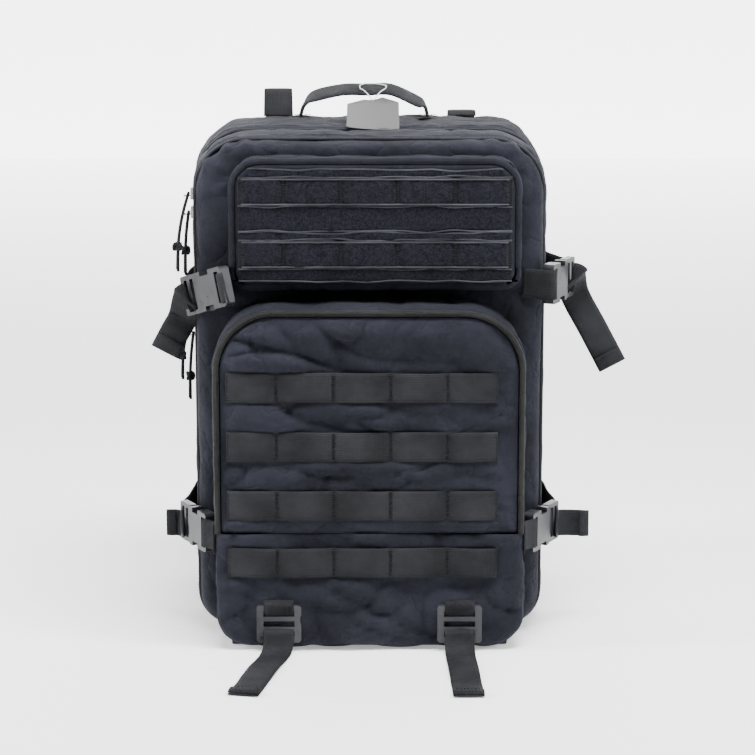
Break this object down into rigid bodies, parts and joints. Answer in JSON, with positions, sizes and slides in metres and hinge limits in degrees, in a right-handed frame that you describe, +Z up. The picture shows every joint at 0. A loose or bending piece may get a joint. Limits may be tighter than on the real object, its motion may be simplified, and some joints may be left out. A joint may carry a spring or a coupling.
{
  "type": "trauma backpack",
  "caption": "Black assault-style trauma backpack with two large compartments, two front pockets, webbing rows, side-release buckles, padded harness and corded zips.",
  "frame": {"origin": "on the ground, on the centre line, in the plane of the zip between the main and second compartments", "axes": "+Z up, front towards -Y, back panel and harness towards +Y"},
  "size_m": [0.414, 0.4119, 0.4665],
  "materials": {
    "pack_cloth": "coarse plain-weave nylon, coated inside, dull",
    "base_cloth": "heavy coated nylon",
    "webbing": "ribbed nylon webbing",
    "loop_pile": "loop pile",
    "zip_black": "coated zip tape with nylon coil",
    "zip_grey": "grey-green zip tape with nylon coil",
    "buckle_plastic": "moulded acetal, satin",
    "frame_plastic": "polyethylene sheet",
    "slider_metal": "painted zinc, worn at edges",
    "pull_cord": "braided nylon cord",
    "tag_card": "coated grey card, blank",
    "tag_string": "fine twisted string"
  },
  "bodies": {
    "pack": {"back_pad": "pack_cloth", "base_panel": "base_cloth", "bottom_locks": "buckle_plastic", "bottom_strap_left": "webbing", "bottom_strap_right": "webbing", "buckle_sockets": "buckle_plastic", "frame_sheet": "frame_plastic", "front_panel": "pack_cloth", "handle_base": "webbing", "load_lifters": "webbing", "lower_divider": "pack_cloth", "lower_harness": "webbing", "lower_pocket": "pack_cloth", "lower_pocket_webbing": "webbing", "lower_zip": "zip_grey", "main_shell": "pack_cloth", "main_zip": "zip_black", "mid_shell": "pack_cloth", "mid_zip": "zip_black", "rear_anchors": "webbing", "shoulder_strap_left": "pack_cloth", "shoulder_strap_right": "pack_cloth", "side_webbing": "webbing", "sternum_left": "webbing", "sternum_socket": "buckle_plastic", "strap_tabs": "webbing", "strap_yoke": "pack_cloth", "upper_pocket": "pack_cloth", "upper_zip": "zip_grey", "waist_belt": "webbing", "waist_socket": "buckle_plastic", "waist_tip": "webbing"},
    "lower_flap": {"lower_flap": "pack_cloth", "lower_flap_webbing": "webbing"},
    "upper_flap": {"upper_flap": "pack_cloth", "upper_webbing": "webbing", "upper_loop_panels": "loop_pile"},
    "upper_left_buckle": {"upper_left_male": "buckle_plastic", "upper_left_strap": "webbing"},
    "upper_right_buckle": {"upper_right_male": "buckle_plastic", "upper_right_strap": "webbing"},
    "lower_left_buckle": {"lower_left_male": "buckle_plastic", "lower_left_strap": "webbing"},
    "lower_right_buckle": {"lower_right_male": "buckle_plastic", "lower_right_strap": "webbing"},
    "handle": {"grab_handle": "webbing", "tag_string": "tag_string"},
    "tag": {"hang_tag": "tag_card"},
    "sternum_buckle": {"sternum_male": "buckle_plastic"},
    "waist_buckle": {"waist_male": "buckle_plastic"},
    "mid_pulls": {"mid_sliders": "slider_metal", "mid_cord_a": "pull_cord", "mid_cord_b": "pull_cord", "mid_knots": "pull_cord"},
    "main_pulls": {"main_sliders": "slider_metal", "main_cord_a": "pull_cord", "main_cord_b": "pull_cord", "main_knots": "pull_cord"}
  },
  "joints": [
    {"name": "lower_flap_open", "type": "hinge", "parent": "pack", "child": "lower_flap", "pos_m": [0, -0.134, 0.1034], "axis": [1, 0, 0], "range_deg": [0, 90]},
    {"name": "upper_flap_open", "type": "hinge", "parent": "pack", "child": "upper_flap", "pos_m": [0, -0.104, 0.3134], "axis": [1, 0, 0], "range_deg": [0, 80]},
    {"name": "upper_left_release", "type": "slide", "parent": "pack", "child": "upper_left_buckle", "axis": [-0.6705, 0.684, -0.2874], "range_m": [0, 0.022]},
    {"name": "upper_right_release", "type": "slide", "parent": "pack", "child": "upper_right_buckle", "axis": [0.4202, 0.9074, 0], "range_m": [0, 0.022]},
    {"name": "lower_left_release", "type": "slide", "parent": "pack", "child": "lower_left_buckle", "axis": [-0.4801, 0.8772, 0], "range_m": [0, 0.022]},
    {"name": "lower_right_release", "type": "slide", "parent": "pack", "child": "lower_right_buckle", "axis": [0.4801, 0.8772, 0], "range_m": [0, 0.022]},
    {"name": "handle_fold", "type": "hinge", "parent": "pack", "child": "handle", "pos_m": [0, 0.0905, 0.4372], "axis": [1, 0, 0], "range_deg": [-60, 0]},
    {"name": "tag_swing", "type": "hinge", "parent": "handle", "child": "tag", "pos_m": [0.003, 0.0453, 0.4524], "axis": [1, 0, 0], "range_deg": [-60, 0]},
    {"name": "sternum_release", "type": "slide", "parent": "pack", "child": "sternum_buckle", "axis": [1, 0, 0], "range_m": [0, 0.022]},
    {"name": "waist_release", "type": "slide", "parent": "pack", "child": "waist_buckle", "axis": [1, 0, 0], "range_m": [0, 0.022]},
    {"name": "mid_zip_slide", "type": "slide", "parent": "pack", "child": "mid_pulls", "axis": [0, 0, 1], "range_m": [0, 0.014]},
    {"name": "main_zip_slide", "type": "slide", "parent": "pack", "child": "main_pulls", "axis": [0, 0, -1], "range_m": [0, 0.08]}
  ]
}
